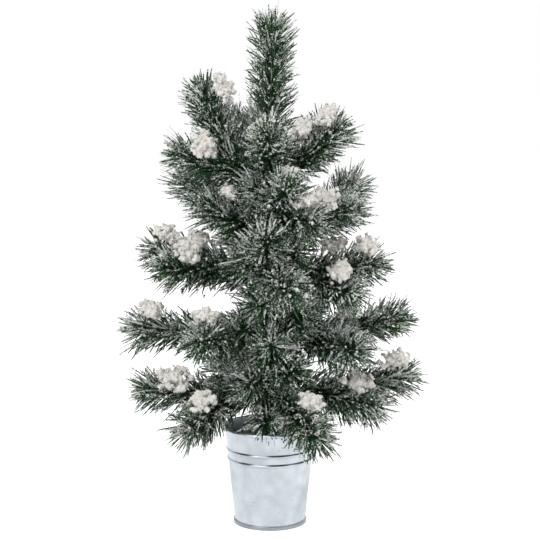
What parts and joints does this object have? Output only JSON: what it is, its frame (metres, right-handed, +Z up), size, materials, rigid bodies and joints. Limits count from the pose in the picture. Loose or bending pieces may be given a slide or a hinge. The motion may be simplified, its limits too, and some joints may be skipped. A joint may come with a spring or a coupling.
{
  "type": "artificial tabletop tree",
  "caption": "Small artificial tree of bendable wire branches with flat green needles and snow flock, standing in a round tinned steel bucket with two beads.",
  "frame": {"origin": "on the floor, at the bucket's axis", "axes": "+Z up along the trunk, -Y towards the side the tree is shown from, +X to that view's right"},
  "size_m": [0.2657, 0.2013, 0.4502],
  "materials": {
    "tinned_steel": "bright zinc coat with a faint spangle",
    "plaster": "rough cast plug, tinted dark",
    "trunk_bark": "dark brown sleeve, matte",
    "binding_tape": "crepe tape wound round the trunk, matte",
    "branch_wire": "two dull strands twisted together",
    "needles": "flat strips of green film, matte, frosted white at the ends",
    "flock_snow": "torn paper pulp, soft and matte"
  },
  "bodies": {
    "bucket_and_trunk": {"bucket_wall": "tinned_steel", "bucket_rim_wire": "tinned_steel", "bucket_base": "tinned_steel", "ballast": "plaster", "trunk": "trunk_bark", "trunk_collars": "binding_tape", "trunk_garland": "needles"},
    "tier5_left": {"tier5_left_wire": "branch_wire", "tier5_left_foliage": "needles", "tier5_left_snow": "flock_snow"},
    "tier5_right": {"tier5_right_wire": "branch_wire", "tier5_right_foliage": "needles", "tier5_right_snow": "flock_snow"},
    "tier5_front": {"tier5_front_wire": "branch_wire", "tier5_front_foliage": "needles", "tier5_front_snow": "flock_snow"},
    "tier5_back": {"tier5_back_wire": "branch_wire", "tier5_back_foliage": "needles"},
    "tier4_left": {"tier4_left_wire": "branch_wire", "tier4_left_foliage": "needles", "tier4_left_snow": "flock_snow"},
    "tier4_right": {"tier4_right_wire": "branch_wire", "tier4_right_foliage": "needles", "tier4_right_snow": "flock_snow"},
    "tier4_front": {"tier4_front_wire": "branch_wire", "tier4_front_foliage": "needles", "tier4_front_snow": "flock_snow"},
    "tier4_back": {"tier4_back_wire": "branch_wire", "tier4_back_foliage": "needles"},
    "tier3_left": {"tier3_left_wire": "branch_wire", "tier3_left_foliage": "needles", "tier3_left_snow": "flock_snow"},
    "tier3_right": {"tier3_right_wire": "branch_wire", "tier3_right_foliage": "needles", "tier3_right_snow": "flock_snow"},
    "tier3_front": {"tier3_front_wire": "branch_wire", "tier3_front_foliage": "needles"},
    "tier3_back": {"tier3_back_wire": "branch_wire", "tier3_back_foliage": "needles"},
    "tier2_left": {"tier2_left_wire": "branch_wire", "tier2_left_foliage": "needles", "tier2_left_snow": "flock_snow"},
    "tier2_right": {"tier2_right_wire": "branch_wire", "tier2_right_foliage": "needles", "tier2_right_snow": "flock_snow"},
    "tier2_back": {"tier2_back_wire": "branch_wire", "tier2_back_foliage": "needles"},
    "tier1_left": {"tier1_left_wire": "branch_wire", "tier1_left_foliage": "needles", "tier1_left_snow": "flock_snow"},
    "tier1_right": {"tier1_right_wire": "branch_wire", "tier1_right_foliage": "needles", "tier1_right_snow": "flock_snow"},
    "tier1_front": {"tier1_front_wire": "branch_wire", "tier1_front_foliage": "needles", "tier1_front_snow": "flock_snow"},
    "tier1_back": {"tier1_back_wire": "branch_wire", "tier1_back_foliage": "needles"},
    "leader": {"leader_wire": "branch_wire", "leader_foliage": "needles"}
  },
  "joints": [
    {"name": "tier5_left_bend", "type": "hinge", "parent": "bucket_and_trunk", "child": "tier5_left", "pos_m": [-0.00816, -0.00086, 0.306], "axis": [-0.1045, 0.9945, 0], "range_deg": [-14, 16]},
    {"name": "tier5_right_bend", "type": "hinge", "parent": "bucket_and_trunk", "child": "tier5_right", "pos_m": [0.00818, -0.00057, 0.309], "axis": [-0.0698, -0.9976, 0], "range_deg": [-30, 12]},
    {"name": "tier5_front_bend", "type": "hinge", "parent": "bucket_and_trunk", "child": "tier5_front", "pos_m": [-0.00029, -0.0082, 0.302], "axis": [-0.9994, 0.0349, 0], "range_deg": [-20, 10]},
    {"name": "tier5_back_bend", "type": "hinge", "parent": "bucket_and_trunk", "child": "tier5_back", "pos_m": [-0.00142, 0.00808, 0.311], "axis": [0.9848, 0.1736, 0], "range_deg": [-20, 20]},
    {"name": "tier4_left_bend", "type": "hinge", "parent": "bucket_and_trunk", "child": "tier4_left", "pos_m": [-0.00788, -0.00226, 0.264], "axis": [-0.2756, 0.9613, 0], "range_deg": [-20, 12]},
    {"name": "tier4_right_bend", "type": "hinge", "parent": "bucket_and_trunk", "child": "tier4_right", "pos_m": [0.00796, -0.00198, 0.259], "axis": [-0.2419, -0.9703, 0], "range_deg": [-14, 28]},
    {"name": "tier4_front_bend", "type": "hinge", "parent": "bucket_and_trunk", "child": "tier4_front", "pos_m": [0.0017, -0.00802, 0.262], "axis": [-0.9781, -0.2079, 0], "range_deg": [-15, 10]},
    {"name": "tier4_back_bend", "type": "hinge", "parent": "bucket_and_trunk", "child": "tier4_back", "pos_m": [-0.00029, 0.0082, 0.264], "axis": [0.9994, 0.0349, 0], "range_deg": [-24, 14]},
    {"name": "tier3_left_bend", "type": "hinge", "parent": "bucket_and_trunk", "child": "tier3_left", "pos_m": [-0.0082, 0.00029, 0.219], "axis": [0.0349, 0.9994, 0], "range_deg": [-20, 15]},
    {"name": "tier3_right_bend", "type": "hinge", "parent": "bucket_and_trunk", "child": "tier3_right", "pos_m": [0.00816, -0.00086, 0.219], "axis": [-0.1045, -0.9945, 0], "range_deg": [-18, 12]},
    {"name": "tier3_front_bend", "type": "hinge", "parent": "bucket_and_trunk", "child": "tier3_front", "pos_m": [-0.00029, -0.0082, 0.214], "axis": [-0.9994, 0.0349, 0], "range_deg": [-40, 10]},
    {"name": "tier3_back_bend", "type": "hinge", "parent": "bucket_and_trunk", "child": "tier3_back", "pos_m": [0.00086, 0.00816, 0.216], "axis": [0.9945, -0.1045, 0], "range_deg": [-24, 20]},
    {"name": "tier2_left_bend", "type": "hinge", "parent": "bucket_and_trunk", "child": "tier2_left", "pos_m": [-0.0082, -0.00029, 0.166], "axis": [-0.0349, 0.9994, 0], "range_deg": [-14, 20]},
    {"name": "tier2_right_bend", "type": "hinge", "parent": "bucket_and_trunk", "child": "tier2_right", "pos_m": [0.00818, 0.00057, 0.162], "axis": [0.0698, -0.9976, 0], "range_deg": [-10, 18]},
    {"name": "tier2_back_bend", "type": "hinge", "parent": "bucket_and_trunk", "child": "tier2_back", "pos_m": [-0.00057, 0.00818, 0.164], "axis": [0.9976, 0.0698, 0], "range_deg": [-18, 20]},
    {"name": "tier1_left_bend", "type": "hinge", "parent": "bucket_and_trunk", "child": "tier1_left", "pos_m": [-0.00818, -0.00057, 0.114], "axis": [-0.0698, 0.9976, 0], "range_deg": [-15, 14]},
    {"name": "tier1_right_bend", "type": "hinge", "parent": "bucket_and_trunk", "child": "tier1_right", "pos_m": [0.0082, 0.00029, 0.114], "axis": [0.0349, -0.9994, 0], "range_deg": [-24, 10]},
    {"name": "tier1_front_bend", "type": "hinge", "parent": "bucket_and_trunk", "child": "tier1_front", "pos_m": [0.0041, -0.0071, 0.118], "axis": [-0.866, -0.5, 0], "range_deg": [-3, 45]},
    {"name": "tier1_back_bend", "type": "hinge", "parent": "bucket_and_trunk", "child": "tier1_back", "pos_m": [0.00029, 0.0082, 0.112], "axis": [0.9994, -0.0349, 0], "range_deg": [-22, 18]},
    {"name": "leader_bend", "type": "hinge", "parent": "bucket_and_trunk", "child": "leader", "pos_m": [0, 0, 0.3322], "axis": [0, 1, 0], "range_deg": [-15, 10]}
  ]
}
